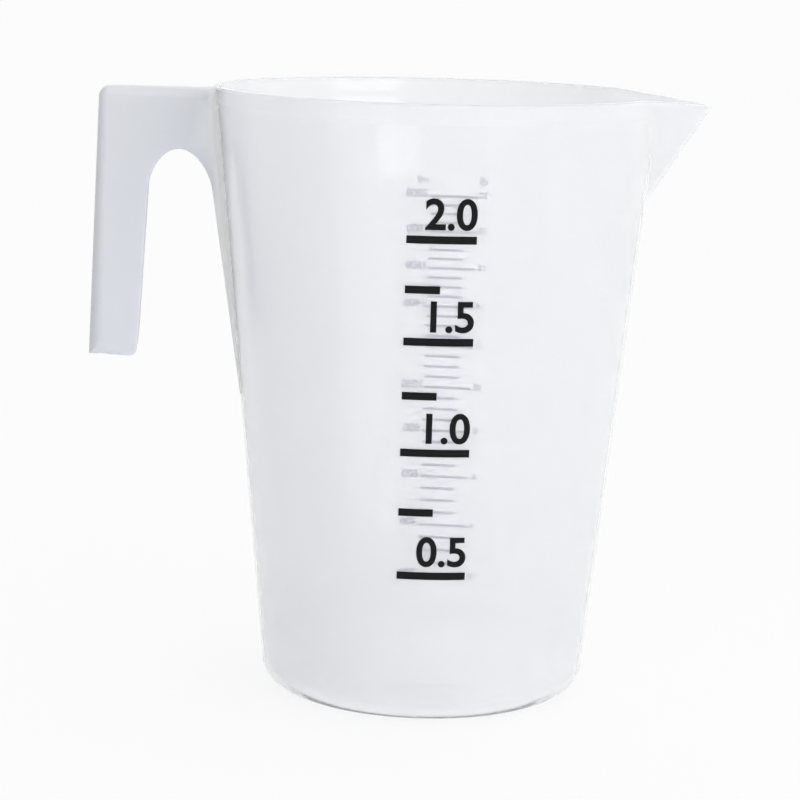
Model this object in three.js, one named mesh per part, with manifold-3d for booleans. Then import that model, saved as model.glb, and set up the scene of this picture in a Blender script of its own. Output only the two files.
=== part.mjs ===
// A two litre measuring jug in natural polypropylene: a tapered body with a V spout, an open hook
// handle of U section and a scale printed on the wall.
// Millimetres, +Z up. The origin is the centre of the base on the surface that the jug stands on,
// +X runs to the spout and -X to the handle.
import * as THREE from "three";
import { mergeVertices } from "three/addons/utils/BufferGeometryUtils.js";
import Module from "manifold-3d";

const wasm = await Module();
wasm.setup();

// Body
const HEIGHT = 210;
const RIM_RADIUS = 76.5; // outside of the wall at the rim
const FOOT_RADIUS = 55.8; // the wall's cone carried down to the floor
const WALL = 1.8;
const FLOOR = 3;
const FOOT_ROUNDING = 9.7; // outside edge of the base
const INNER_ROUNDING = 8; // corner between floor and wall inside

// Rim band
const BAND_HEIGHT = 6.2;
const BAND_PROUD = 0.7;
const LIP_ROUNDING = 1.1;

// Spout
const SPOUT_REACH = 19.7; // tip beyond the rim
const SPOUT_DEPTH = 36.5; // rim down to the foot of the keel
const SPOUT_STEP = 0.8; // lip of the spout below the rim, where it leaves the rim
const SPOUT_DROP = 3.4; // tip below the rim
const SPOUT_HALF_ANGLE = 24; // degrees round the rim from the tip to each root

// Handle
const HANDLE_DROP = 1; // top of the handle below the rim
const HANDLE_REACH = 39; // back of the handle beyond the rim, at its top
const HANDLE_LENGTH = 91.8; // top of the handle to the end of the leg
const LEG_LEAN = 2.9; // the end of the leg stands this much further out
const LEG_DEPTH = 16.6; // back to inner edge at the end of the leg
const LEG_TAPER = 1.4; // the leg is this much deeper where the arch begins
const HANDLE_WIDTH = 16; // across the two cheeks at the top
const HANDLE_FLARE = 1.5; // each cheek leans out this much by the end of the leg
const HANDLE_WALL = 2.1;
const HANDLE_CORNER = 1.2; // inside corner between arm and leg
const LEG_CORNER = 3; // inner corner at the end of the leg
const ARM_DEPTH = 20.5; // top of the handle to the crown of the arch
const ARCH_RISE = 14; // springing of the arch up to its crown

// Ribs below the handle
const RIB_PROUD = 3.6; // at the springing of the arch
const RIB_LENGTH = 70; // springing of the arch to the foot of the rib

// Printed scale
const SCALE_VOLUME = 2000; // millilitres at the highest line
const SCALE_FIRST = 200; // millilitres at the lowest line
const SCALE_STEP = 50;
const LABEL_STEP = 200; // millilitres between the long lines
const LONG_LINE = 17.8;
const SHORT_LINE = 13;
const LINE_HEIGHT = 1;
const INK_THICKNESS = 0.2;
const SCALE_TURN = 9; // degrees from +Y towards the spout
const SCALE_OFFSET = 6.9; // middle of the print to the aligned ends of its lines

// Clearances
const SEAM = 0.3; // between neighbouring regions of the moulding
const INK_GAP = 0.12; // between the wall and the ink

// Facets
const ROUND_SIDES = 96;
const ARC_STEPS = 6;
const ARCH_STEPS = 16;
const INK_SIDES = 6;
const FILL_STEP = 0.05; // millimetres of level for each slice when a volume is measured
const WELD = 1e-4; // corners closer than this are one corner

const CUT_MARGIN = 5; // how far a cutting solid runs past what it cuts
const ML = 1000; // cubic millimetres
const radians = THREE.MathUtils.degToRad;

const WALL_SLOPE = (RIM_RADIUS - FOOT_RADIUS) / HEIGHT;
const WALL_TILT = Math.atan(WALL_SLOPE);
const BAND_FOOT = HEIGHT - BAND_HEIGHT;
const HANDLE_TOP = HEIGHT - HANDLE_DROP;
const LEG_END = HANDLE_TOP - HANDLE_LENGTH;
const ARCH_CROWN = HANDLE_TOP - ARM_DEPTH;
const ARCH_SPRING = ARCH_CROWN - ARCH_RISE;
const BASE_TOP = Math.max(FOOT_ROUNDING, FLOOR + INNER_ROUNDING);
const HANDLE_BACK = -(RIM_RADIUS + HANDLE_REACH);
const CORNER_X = HANDLE_BACK + HANDLE_WALL + HANDLE_CORNER;
const CORNER_FOOT = HANDLE_TOP - HANDLE_WALL - HANDLE_CORNER;
const LEAN_SLOPE = LEG_LEAN / (CORNER_FOOT - LEG_END);
const HALF_WIDTH = HANDLE_WIDTH / 2;
const RIB_FOOT = ARCH_SPRING - RIB_LENGTH;
const RIB_EDGE = -(wallRadius(ARCH_SPRING) + RIB_PROUD); // free edge of a rib at its top
const RIB_SLOPE = (RIB_EDGE + wallRadius(RIB_FOOT)) / RIB_LENGTH;

const polypropylene = new THREE.MeshStandardMaterial({ color: 0xe6e9ee, roughness: 0.28, metalness: 0 });
const ink = new THREE.MeshStandardMaterial({ color: 0x1d2240, roughness: 0.5, metalness: 0 });

const jug = new THREE.Group();

function wallRadius(z) {
  return FOOT_RADIUS + WALL_SLOPE * z;
}

// Solids and meshes

function solidOf(geometry) {
  const bare = geometry.clone();
  bare.deleteAttribute("normal");
  bare.deleteAttribute("uv");
  const merged = mergeVertices(bare, WELD);
  return new wasm.Manifold(
    new wasm.Mesh({
      numProp: 3,
      vertProperties: merged.attributes.position.array,
      triVerts: new Uint32Array(merged.index.array),
    }),
  );
}

function addPiece(name, solid, material) {
  const mesh = solid.getMesh();
  const geometry = new THREE.BufferGeometry();
  geometry.setAttribute("position", new THREE.BufferAttribute(mesh.vertProperties, 3));
  geometry.setIndex(new THREE.BufferAttribute(mesh.triVerts, 1));
  geometry.computeVertexNormals();
  const piece = new THREE.Mesh(geometry, material);
  piece.name = name;
  jug.add(piece);
}

// A profile of [radius, height] points turned about Z.
function turned(profile) {
  const points = profile.map(([radius, height]) => new THREE.Vector2(radius, height));
  return solidOf(new THREE.LatheGeometry(points, ROUND_SIDES).rotateX(Math.PI / 2));
}

// An outline in X and Z, made into a plate from one Y to a higher one.
function plate(outline, yLow, yHigh) {
  const geometry = new THREE.ExtrudeGeometry(outline, {
    depth: yHigh - yLow,
    bevelEnabled: false,
    curveSegments: 2 * ARC_STEPS,
  });
  return geometry.rotateX(Math.PI / 2).translate(0, yHigh, 0);
}

function arc(centreRadius, centreHeight, radius, from, to) {
  const points = [];
  for (let i = 0; i <= ARC_STEPS; i++) {
    const angle = from + ((to - from) * i) / ARC_STEPS;
    points.push([centreRadius + radius * Math.cos(angle), centreHeight + radius * Math.sin(angle)]);
  }
  return points;
}

// Centre of a rounding between a level face and a wall of the body's slope, inside that wall.
function roundingCentre(level, rounding, wallInset) {
  const touch = level + rounding * (1 - Math.sin(WALL_TILT));
  return wallRadius(touch) - wallInset - rounding * Math.cos(WALL_TILT);
}

// Inside of the jug from the floor to the rim

const insideCentre = roundingCentre(FLOOR, INNER_ROUNDING, WALL);
const insideProfile = [
  [0, FLOOR],
  ...arc(insideCentre, FLOOR + INNER_ROUNDING, INNER_ROUNDING, -Math.PI / 2, -WALL_TILT),
  [wallRadius(HEIGHT) - WALL, HEIGHT],
];

function insideRadius(z) {
  const above = insideProfile.findIndex(([, height]) => height > z);
  const [lowRadius, low] = insideProfile[above - 1];
  const [highRadius, high] = insideProfile[above];
  return THREE.MathUtils.mapLinear(z, low, high, lowRadius, highRadius);
}

// Level of the liquid for each volume of the scale, as far as it fits under the rim band.
function fillLevels() {
  const levels = [];
  let filled = 0;
  for (let z = FLOOR + FILL_STEP / 2; z < BAND_FOOT - LINE_HEIGHT; z += FILL_STEP) {
    filled += Math.PI * insideRadius(z) ** 2 * FILL_STEP;
    const wanted = (levels.length + 1) * SCALE_STEP;
    if (wanted > SCALE_VOLUME) break;
    if (filled >= wanted * ML) levels.push({ volume: wanted, height: z });
  }
  return levels;
}

// Spout: two flat sides that meet in a keel, folded out of the wall

const spoutFoot = new THREE.Vector3(wallRadius(HEIGHT - SPOUT_DEPTH), 0, HEIGHT - SPOUT_DEPTH);
const spoutTip = new THREE.Vector3(RIM_RADIUS + SPOUT_REACH, 0, HEIGHT - SPOUT_DROP);
const spoutRoot = new THREE.Vector3(
  RIM_RADIUS * Math.cos(radians(SPOUT_HALF_ANGLE)),
  -RIM_RADIUS * Math.sin(radians(SPOUT_HALF_ANGLE)),
  HEIGHT - SPOUT_STEP,
);

const sideNormal = new THREE.Vector3()
  .crossVectors(spoutTip.clone().sub(spoutFoot), spoutRoot.clone().sub(spoutFoot))
  .normalize();
// The wedge runs on from the tip, past the foot and the roots, until it is inside the jug.
const WEDGE_DEPTH = 1 + (WALL + CUT_MARGIN) / (spoutTip.x - spoutFoot.x);
const WEDGE_RISE = 1 + CUT_MARGIN / SPOUT_DEPTH;

function scaledFrom(centre, point, factor) {
  return point.clone().sub(centre).multiplyScalar(factor).add(centre);
}

// The space between the two sides, with each side moved out square to itself by an offset.
function spoutWedge(offset, rise) {
  const farRoot = spoutRoot.clone().setY(-spoutRoot.y);
  const deep = [spoutFoot, spoutTip, spoutRoot, farRoot].map((corner) =>
    scaledFrom(spoutTip, corner, WEDGE_DEPTH),
  );
  const corners = deep.map((corner) => scaledFrom(deep[0], corner, rise));
  const geometry = new THREE.BufferGeometry().setFromPoints(corners);
  geometry.setIndex([0, 3, 1, 0, 1, 2, 0, 2, 3, 1, 3, 2]);
  return solidOf(geometry.translate(offset / Math.abs(sideNormal.x), 0, 0));
}

function spout() {
  const top = HEIGHT + CUT_MARGIN;
  const inside = turned([...insideProfile, [wallRadius(top) - WALL, top], [0, top]]);
  return spoutWedge(0, 1).subtract(spoutWedge(-WALL, WEDGE_RISE)).subtract(inside);
}

const spoutClearance = spoutWedge(SEAM, WEDGE_RISE);

// Body

function baseFloor() {
  const centre = roundingCentre(0, FOOT_ROUNDING, 0);
  const top = BASE_TOP - SEAM / 2;
  const inside = insideProfile.filter(([, height]) => height < top);
  return turned([
    [0, 0],
    ...arc(centre, FOOT_ROUNDING, FOOT_ROUNDING, -Math.PI / 2, -WALL_TILT),
    [wallRadius(top), top],
    [wallRadius(top) - WALL, top],
    ...inside.reverse(),
  ]);
}

function bodyWall() {
  const bottom = BASE_TOP + SEAM / 2;
  const top = BAND_FOOT - SEAM / 2;
  const tube = turned([
    [wallRadius(bottom) - WALL, bottom],
    [wallRadius(bottom), bottom],
    [wallRadius(top), top],
    [wallRadius(top) - WALL, top],
    [wallRadius(bottom) - WALL, bottom],
  ]);
  return tube.subtract(spoutClearance);
}

function rimBand() {
  const bottom = BAND_FOOT + SEAM / 2;
  const lip = HEIGHT - LIP_ROUNDING;
  const inner = wallRadius(lip) - WALL;
  const outer = wallRadius(lip) + BAND_PROUD;
  const ring = turned([
    [wallRadius(bottom) - WALL, bottom],
    [wallRadius(bottom) + BAND_PROUD, bottom],
    ...arc(outer - LIP_ROUNDING, lip, LIP_ROUNDING, 0, Math.PI / 2),
    ...arc(inner + LIP_ROUNDING, lip, LIP_ROUNDING, Math.PI / 2, Math.PI),
    [wallRadius(bottom) - WALL, bottom],
  ]);
  return ring.subtract(spoutClearance);
}

// What the handle has to stay clear of: the body and its rim band, grown by a seam.
const bodyClearance = turned([
  [0, 0],
  [wallRadius(0) + SEAM, 0],
  [wallRadius(BAND_FOOT - SEAM) + SEAM, BAND_FOOT - SEAM],
  [wallRadius(BAND_FOOT - SEAM) + BAND_PROUD + SEAM, BAND_FOOT - SEAM],
  [wallRadius(HEIGHT + CUT_MARGIN) + BAND_PROUD + SEAM, HEIGHT + CUT_MARGIN],
  [0, HEIGHT + CUT_MARGIN],
]);

// Handle, drawn in X and Z: two straps bent round two cheeks make a U channel, open to the body

function backX(z) {
  return HANDLE_BACK - LEAN_SLOPE * Math.max(0, CORNER_FOOT - z);
}

function legInnerX(z) {
  return backX(z) + LEG_DEPTH + (LEG_TAPER * (z - LEG_END)) / (ARCH_SPRING - LEG_END);
}

function ribEdgeX(z) {
  return RIB_EDGE + RIB_SLOPE * (z - ARCH_SPRING);
}

// A point of the arch: the lines of the leg and the ribs run on upwards, and a half ellipse closes them.
function archPoint(turn) {
  const z = ARCH_SPRING + ARCH_RISE * Math.sin(turn);
  const halfGap = (ribEdgeX(z) - legInnerX(z)) / 2;
  return [legInnerX(z) + halfGap * (1 + Math.cos(turn)), z];
}

// How far the cheeks have leaned out of their top place at a height.
function flare(z) {
  return (HANDLE_FLARE * (HANDLE_TOP - z)) / HANDLE_LENGTH;
}

function moveY(geometry, newY) {
  const place = geometry.attributes.position;
  for (let i = 0; i < place.count; i++) place.setY(i, newY(place.getY(i), place.getZ(i)));
  return geometry;
}

// A strap as wide as the two cheeks.
function strap(outline) {
  const flat = plate(outline, -HALF_WIDTH, HALF_WIDTH);
  return solidOf(moveY(flat, (y, z) => y * (1 + flare(z) / HALF_WIDTH))).subtract(bodyClearance);
}

// A plate in the plane of a cheek, on the near side (-1) or the far side (1).
function sidePlate(outline, side) {
  const middle = side * (HALF_WIDTH - HANDLE_WALL / 2);
  const flat = plate(outline, middle - HANDLE_WALL / 2, middle + HANDLE_WALL / 2);
  return solidOf(moveY(flat, (y, z) => y + side * flare(z))).subtract(bodyClearance);
}

function topStrap() {
  const outline = new THREE.Shape();
  outline.moveTo(HANDLE_BACK, CORNER_FOOT);
  outline.absarc(CORNER_X, CORNER_FOOT, HANDLE_WALL + HANDLE_CORNER, Math.PI, Math.PI / 2, true);
  outline.lineTo(0, HANDLE_TOP);
  outline.lineTo(0, HANDLE_TOP - HANDLE_WALL);
  outline.absarc(CORNER_X, CORNER_FOOT, HANDLE_CORNER, Math.PI / 2, Math.PI, false);
  return strap(outline);
}

function backStrap() {
  const top = CORNER_FOOT - SEAM;
  const outline = new THREE.Shape();
  outline.moveTo(backX(top), top);
  outline.lineTo(backX(top) + HANDLE_WALL, top);
  outline.lineTo(backX(LEG_END) + HANDLE_WALL, LEG_END);
  outline.lineTo(backX(LEG_END), LEG_END);
  return strap(outline);
}

function cheek(side) {
  const inset = HANDLE_WALL + SEAM;
  const outline = new THREE.Shape();
  outline.moveTo(0, HANDLE_TOP - inset);
  outline.lineTo(CORNER_X, HANDLE_TOP - inset);
  outline.absarc(CORNER_X, CORNER_FOOT, HANDLE_CORNER - SEAM, Math.PI / 2, Math.PI, false);
  outline.lineTo(backX(LEG_END) + inset, LEG_END);
  outline.lineTo(legInnerX(LEG_END) - LEG_CORNER, LEG_END);
  outline.quadraticCurveTo(
    legInnerX(LEG_END),
    LEG_END,
    legInnerX(LEG_END + LEG_CORNER),
    LEG_END + LEG_CORNER,
  );
  for (let i = 0; i <= ARCH_STEPS; i++) outline.lineTo(...archPoint(Math.PI * (1 - i / ARCH_STEPS)));
  outline.lineTo(0, ARCH_SPRING);
  return sidePlate(outline, side);
}

// A rib carries the line of its cheek down the wall and fades into it.
function rib(side) {
  const top = ARCH_SPRING - SEAM;
  const outline = new THREE.Shape();
  outline.moveTo(0, top);
  outline.lineTo(ribEdgeX(top), top);
  outline.lineTo(-wallRadius(RIB_FOOT), RIB_FOOT);
  outline.lineTo(0, RIB_FOOT);
  return sidePlate(outline, side);
}

// Printed scale

function scaleLine({ volume, height }) {
  const inner = wallRadius(height + LINE_HEIGHT / 2) + INK_GAP;
  const outer = inner + INK_THICKNESS;
  const length = volume % LABEL_STEP === 0 ? LONG_LINE : SHORT_LINE;
  const start = radians(90 - SCALE_TURN) + SCALE_OFFSET / inner;
  const end = start - length / inner;
  const outline = new THREE.Shape();
  outline.absarc(0, 0, outer, start, end, true);
  outline.absarc(0, 0, inner, end, start, false);
  const film = new THREE.ExtrudeGeometry(outline, {
    depth: LINE_HEIGHT,
    bevelEnabled: false,
    curveSegments: INK_SIDES,
  });
  return solidOf(film.translate(0, 0, height - LINE_HEIGHT / 2));
}

addPiece("base_floor", baseFloor(), polypropylene);
addPiece("body_wall", bodyWall(), polypropylene);
addPiece("rim_band", rimBand(), polypropylene);
addPiece("spout", spout(), polypropylene);
addPiece("handle_top_strap", topStrap(), polypropylene);
addPiece("handle_back_strap", backStrap(), polypropylene);
addPiece("handle_cheek_near", cheek(-1), polypropylene);
addPiece("handle_cheek_far", cheek(1), polypropylene);
addPiece("handle_rib_near", rib(-1), polypropylene);
addPiece("handle_rib_far", rib(1), polypropylene);

for (const level of fillLevels()) {
  if (level.volume < SCALE_FIRST) continue;
  addPiece("scale_line_" + String(level.volume).padStart(4, "0"), scaleLine(level), ink);
}

export default jug;
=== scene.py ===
"""Measuring jug in milky natural polypropylene: the moulding, its printed scales and a white studio stage.

Metres, +Z up. The origin is the centre of the base, +X runs to the spout and -X to the handle.
"""

import math

import bmesh
import bpy
from bpy.props import FloatProperty, FloatVectorProperty, IntProperty, PointerProperty
from mathutils import Matrix, Vector


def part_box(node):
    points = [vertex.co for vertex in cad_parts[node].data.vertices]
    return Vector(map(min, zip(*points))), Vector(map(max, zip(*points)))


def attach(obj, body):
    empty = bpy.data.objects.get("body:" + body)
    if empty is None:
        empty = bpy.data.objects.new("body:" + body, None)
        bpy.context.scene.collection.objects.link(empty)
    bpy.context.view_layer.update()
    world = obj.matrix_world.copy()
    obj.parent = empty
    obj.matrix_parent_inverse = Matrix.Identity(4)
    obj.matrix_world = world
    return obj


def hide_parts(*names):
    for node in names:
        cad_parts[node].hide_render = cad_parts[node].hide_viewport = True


bl_info = {
    "name": "Measuring jug",
    "version": (1, 0, 0),
    "blender": (4, 5, 0),
    "location": "View3D > Sidebar > Jug",
    "description": "Builds a moulded measuring jug with its printed scales on a white stage",
    "category": "Add Mesh",
}

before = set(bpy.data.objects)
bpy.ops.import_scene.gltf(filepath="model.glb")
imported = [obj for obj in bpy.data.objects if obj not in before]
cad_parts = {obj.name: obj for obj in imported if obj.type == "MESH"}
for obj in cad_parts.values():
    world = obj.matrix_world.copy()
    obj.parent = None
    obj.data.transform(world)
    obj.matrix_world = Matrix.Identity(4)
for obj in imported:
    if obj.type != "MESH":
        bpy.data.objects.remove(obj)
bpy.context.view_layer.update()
BODY = "root"

RIM_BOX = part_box("rim_band")
SPOUT_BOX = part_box("spout")
TOP_STRAP_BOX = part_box("handle_top_strap")
BACK_STRAP_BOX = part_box("handle_back_strap")
THIN_PLASTIC, THICK_PLASTIC, FLOOR_PLASTIC = range(3)
SCALE_NODES = sorted(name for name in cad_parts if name.startswith("scale_line_"))
MOULDING_NODES = sorted(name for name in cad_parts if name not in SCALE_NODES)


def turns_from(low, high):
    """Two turns in degrees, between which something changes."""
    return math.radians(low), math.radians(high)


# How the body is shaped: turns from the direction of the spout, shares of other sizes, rows and steps

SPOUT_TURN = math.radians(50)
SPOUT_CROWDING = 1.4
SPOUT_FOOT = 0.76
SPOUT_LIFT_FOOT = 0.75
KEEL_THICKNESS = 1.35
LIP_FALL = 0.8
LIP_BEND = 0.46
FOLD_FADE = turns_from(4, 16)
BAND_FADE = turns_from(23, 36)
TIP_FADE = turns_from(2, 26)
GATE_FACE = 0.35
GATE_EDGE = 0.4
FLOOR_ROWS = (0.8, 0.55, 0.3, 0.1)
UNDER_LIP_ROWS = (0.45, 0.75)
RECESS_STEPS, LOWER_STEPS, UPPER_STEPS, BAND_STEPS = 4, 22, 30, 4

# How the handle is shaped: lengths, shares of other sizes, and steps along its edges

ROOT_SINK = 0.6
FILLET_SHARE = 0.75
FILLET_RUN = 0.9
FILLET_SUNK = 0.00002
FILLET_SUNK_IN_WALL = 0.0001
FILLET_DEEP = 0.0004
CHANNEL_ROUNDING = 0.0008
CHANNEL_FOLLOW = 0.9
MITRE_LIMIT = 0.5
SHARP_EDGE = 34
ARM_STEPS, LEG_STEPS, INNER_LEG_STEPS, RIB_STEPS, ROOT_STEPS = 10, 16, 14, 16, 20
FILLET_STEPS, FILLET_TOP_STEPS = 36, 8

# Where the plastic is dense or hazy, and where painted shade darkens the upper wall towards the handle:
# lengths and turns between which a mark comes up, and its strength

LEVEL_FACE = 0.9
GRIP_PROUD = (0.003, 0.009)
GRIP_PROUD_IN_FILLETS = (0.6, 1.2)
GRIP_BACK = (0.05, 0.06)
ARM_HEIGHT = (-0.008, 0.004)
UPPER_BODY = (0.04, 0.15)
ROOT_TURN = turns_from(125, 176)
# Turns between which painted shade comes up on the upper wall towards the handle
PAINTED_SHADE_TURN = turns_from(90, 150)
KEEL_TURN = turns_from(9, 0)
KEEL_PROUD = (0.001, 0.004)
LIP_DEPTH = (0.01, 0.0015)
# Strength of the painted shade: the share of the dense colour laid on the upper wall
PAINTED_SHADE_SHARE = 0.15
ROOT_HAZE = 0.6
LIP_HAZE = 0.8

# How the ink is laid: lengths, the boldness of the type, and how much lighter worn ink is

STRIP_PITCH = 0.0012
WELD = 1e-7
NUMBER_DROP = 0.0004
NUMBER_BOLDNESS = 0.03
UNIT_BOLDNESS = 0.02
LARGE_BOLDNESS = 0.022
WORN_GAIN, WORN_LIFT = 1.6, 0.003
NUMBER_RISE_IN_BARS = 1.7

# Sockets of a mix node, by number because their names repeat

COLOUR_A, COLOUR_B, COLOUR_RESULT = 6, 7, 2
VALUE_A, VALUE_B = 2, 3

# Stage: places, aims and sizes

FLOOR_REACH = 12
FLOOR_GAP = 0.0002
KEY_PLACE, KEY_AIM, KEY_SIZE = (0.75, -1.05, 0.25), (0, 0, 0.11), (0.9, 0.5)
WINDOW_PLACE, WINDOW_AIM = (-0.204, -0.516, 0.0574), (-0.017, -0.073, 0.194)
WINDOW_SIZE = (0.21, 0.0235)


def length(name, default, description):
    return FloatProperty(
        name=name, description=description, default=default, unit="LENGTH", subtype="DISTANCE", precision=5
    )


def angle(name, degrees, description):
    return FloatProperty(
        name=name, description=description, default=math.radians(degrees), unit="ROTATION", subtype="ANGLE"
    )


def share(name, default, description):
    return FloatProperty(
        name=name, description=description, default=default, min=0, max=1, subtype="FACTOR"
    )


def amount(name, default, description, lowest=0, unit="NONE"):
    return FloatProperty(name=name, description=description, default=default, min=lowest, unit=unit)


def whole(name, default, description):
    return IntProperty(name=name, description=description, default=default)


def colour(name, default, description):
    return FloatVectorProperty(
        name=name, description=description, default=default, min=0, max=1, size=4, subtype="COLOR"
    )


# Sizes and colours


class JugBodySizes(bpy.types.PropertyGroup):
    """Sizes of the round body, its base and its rim."""

    height: length("Height", RIM_BOX[1].z, "Floor to rim")
    rim_radius: length("Rim radius", 0.0765, "Outside of the wall at the rim")
    foot_radius: length("Foot radius", 0.0558, "The wall's cone carried down to the floor")
    wall: length("Wall", 0.0018, "Thickness of the wall")
    floor: length("Floor", 0.003, "Thickness of the base")
    foot_rounding: length("Foot rounding", 0.0097, "Outside edge of the base")
    inner_rounding: length("Inner rounding", 0.008, "Corner between floor and wall inside")
    band_height: length("Band height", 0.0062, "Rim down to the foot of its band")
    band_proud: length("Band proud", 0.0003, "Band in front of the wall")
    band_softness: length("Band softness", 0.0011, "Half of the slope at the foot of the band")
    lip_rounding: length("Lip rounding", 0.0011, "Edges of the rim")
    recess_radius: length("Recess radius", 0.04, "Shallow recess under the base")
    recess_depth: length("Recess depth", 0.0007, "Depth of the recess under the base")
    gate_radius: length("Gate radius", 0.0028, "Mark left by the moulding gate in the middle of the base")


class JugSpoutSizes(bpy.types.PropertyGroup):
    """Sizes of the V spout."""

    tip_reach: length("Tip", SPOUT_BOX[1].x, "Axis of the body to the tip")
    tip_drop: length("Tip drop", 0.0034, "Rim down to the tip")
    tip_rounding: length("Tip rounding", 0.0004, "Edges of the lip at the tip")
    keel_lean: angle("Keel lean", 33.1, "Keel from the vertical")
    side_turn: angle("Side turn", 40.2, "Square of each side from the direction of the tip")
    foot_blend: length("Foot blend", 0.0032, "Softness of the fold at the foot of the keel")
    fold_blend: length("Fold blend", 0.0012, "Softness of the folds beside the spout")
    keel_rounding: angle("Keel rounding", 1.1, "Half of the turn that rounds the keel")


class JugHandleSizes(bpy.types.PropertyGroup):
    """Sizes of the hook handle and its ribs."""

    top: length("Top", TOP_STRAP_BOX[1].z, "Floor to the top of the arm")
    back: length("Back", -TOP_STRAP_BOX[0].x, "Axis of the body to the back of the arm")
    end_back: length("End back", -BACK_STRAP_BOX[0].x, "Axis of the body to the back of the leg at its end")
    leg_end: length("Leg end", BACK_STRAP_BOX[0].z, "Floor to the end of the leg")
    half_width: length("Half width", 0.008, "Half across the two cheeks at the top")
    end_half_width: length("End half width", BACK_STRAP_BOX[1].y, "Half across the cheeks at the leg's end")
    wall: length("Wall", 0.0021, "Thickness of straps and cheeks")
    corner: length("Corner", 0.0033, "Outside corner between arm and leg")
    leg_depth: length("Leg depth", 0.0166, "Back to inner edge at the end of the leg")
    spring_depth: length("Spring depth", 0.018, "Back to inner edge where the arch begins")
    leg_corner: length("Leg corner", 0.0025, "Inner corner at the end of the leg")
    arm_depth: length("Arm depth", 0.0205, "Top of the arm to the crown of the arch")
    arch_rise: length("Arch rise", 0.014, "Springing of the arch up to its crown")
    arm_rounding: length("Arm rounding", 0.003, "Edges along the arm")
    leg_rounding: length("Leg rounding", 0.0052, "Edges of the back at the end of the leg")
    edge_rounding: length("Edge rounding", 0.0006, "Free edges of the cheeks")
    rib_proud: length("Rib proud", 0.0036, "Ribs in front of the wall at their top")
    rib_length: length("Rib length", 0.07, "Springing of the arch to the foot of the ribs")
    root_fillet: length("Root fillet", 0.0028, "Fillet between the cheeks and the wall")


class JugPrintSizes(bpy.types.PropertyGroup):
    """Sizes of the printed scales."""

    lift: length("Lift", 0.00004, "Wall to the underside of the ink")
    ink: length("Ink", 0.00008, "Thickness of the ink")
    scale_turn: angle("Scale turn", 81, "Middle of the fine scale, round from the spout")
    number_start: length("Number start", 0.0077, "Middle of the fine scale to its numbers")
    number_height: length("Number height", 0.0032, "Numbers of the fine scale")
    small_start: length("Small number start", -0.0133, "Middle of the fine scale to its second numbers")
    small_height: length("Small number height", 0.0026, "Second numbers of the fine scale")
    unit_lift: length("Unit lift", 0.0046, "Top line of the fine scale up to the unit marks")
    front_turn: angle("Front turn", -92.3, "Middle of the bold scale, round from the spout")
    bar_length: length("Bar length", 0.0228, "Bars of the bold scale with a number")
    short_bar: length("Short bar", 0.0114, "Bars of the bold scale between the numbers")
    bar_height: length("Bar height", 0.0026, "Thickness of the bars of the bold scale")
    bold_height: length("Bold number height", 0.0105, "Numbers of the bold scale")


class JugFinish(bpy.types.PropertyGroup):
    """Colours and finish."""

    plastic: colour("Plastic", (0.948, 0.961, 0.983, 1), "Thin natural polypropylene")
    # Also the colour of the painted shade on the upper wall towards the handle
    dense_plastic: colour("Dense plastic", (0.775, 0.79, 0.825, 1), "The same where it is thick or doubled")
    clearness: share("Clearness", 0.78, "Share of the light that goes straight through the thin wall")
    floor_clearness: share("Floor clearness", 0.92, "The same at the base, which lies on the stage")
    dense_clearness: share("Dense clearness", 0.12, "The same at the thick handle")
    milkiness: length("Milkiness", 0.003, "How far light spreads inside the plastic")
    dense_milkiness: length("Dense milkiness", 0.0018, "The same at the thick handle")
    bending: amount("Bending", 1.03, "How much the plastic bends the light that goes through it", 1)
    plastic_roughness: share("Plastic roughness", 0.045, "Blur of what shows through the wall")
    gloss: share("Gloss", 0.035, "Blur of what mirrors in the wall")
    dense_gloss: share("Dense gloss", 0.4, "Blur of what mirrors in the handle")
    haze_roughness: share("Haze roughness", 0.24, "Blur in the handle, its root, the lip and the keel")
    fine_ink: colour("Fine ink", (0.025, 0.04, 0.25, 1), "Dark blue ink of the fine scale")
    bold_ink: colour("Bold ink", (0.004, 0.004, 0.005, 1), "Black ink of the bold scale")
    floor: colour("Floor", (0.93, 0.93, 0.935, 1), "White stage")
    floor_white: share("Floor white", 0.86, "Share of plain white in the floor that the camera sees")


class JugStage(bpy.types.PropertyGroup):
    """Camera and light."""

    camera_turn: angle("Camera turn", -4, "Turn of the camera about the vertical")
    camera_tilt: angle("Camera tilt", 9.86, "Camera down from the level")
    camera_roll: angle("Camera roll", 1.49, "Turn of the picture")
    camera_place: FloatVectorProperty(
        name="Camera place",
        description="Where the camera stands",
        default=(-0.07595, -0.94405, 0.2659),
        size=3,
        unit="LENGTH",
        subtype="TRANSLATION",
    )
    lens: amount("Lens", 123.23, "Focal length in millimetres", 1)
    world_light: amount("World light", 1.05, "Level of the light all round")
    dark_side: share("Dark side", 0.9, "How much darker the room is towards the handle")
    key_power: amount("Key", 5.5, "Power of the key lamp", unit="POWER")
    window_power: amount("Window", 0.017, "Power of the small lamp that mirrors in the wall", unit="POWER")


class JugDetail(bpy.types.PropertyGroup):
    """How finely the meshes are divided."""

    round_steps: whole("Round", 200, "Steps round the body away from the spout")
    spout_steps: whole("Spout", 64, "Steps across half of the spout")
    arc_steps: whole("Arcs", 6, "Steps in a small rounding")
    arch_steps: whole("Arch", 40, "Steps in the arch of the handle")


def sizes(name):
    return getattr(bpy.context.scene, "jug_" + name)


# Plain shapes


def smooth_step(low, high, value):
    t = min(1, max(0, (value - low) / (high - low)))
    return t * t * (3 - 2 * t)


def smooth_max(a, b, softness):
    near = max(0, softness - abs(a - b)) / softness
    return max(a, b) + near * near * softness / 4


def mix(a, b, t):
    return a + (b - a) * t


def arc(centre, radius, start, end, steps):
    """Points [across, up] on an arc, with both ends."""
    turns = [mix(start, end, i / steps) for i in range(steps + 1)]
    return [(centre[0] + radius * math.cos(t), centre[1] + radius * math.sin(t)) for t in turns]


def add_object(name, data):
    piece = bpy.data.objects.new(name, data)
    bpy.context.scene.collection.objects.link(piece)
    return piece


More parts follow.
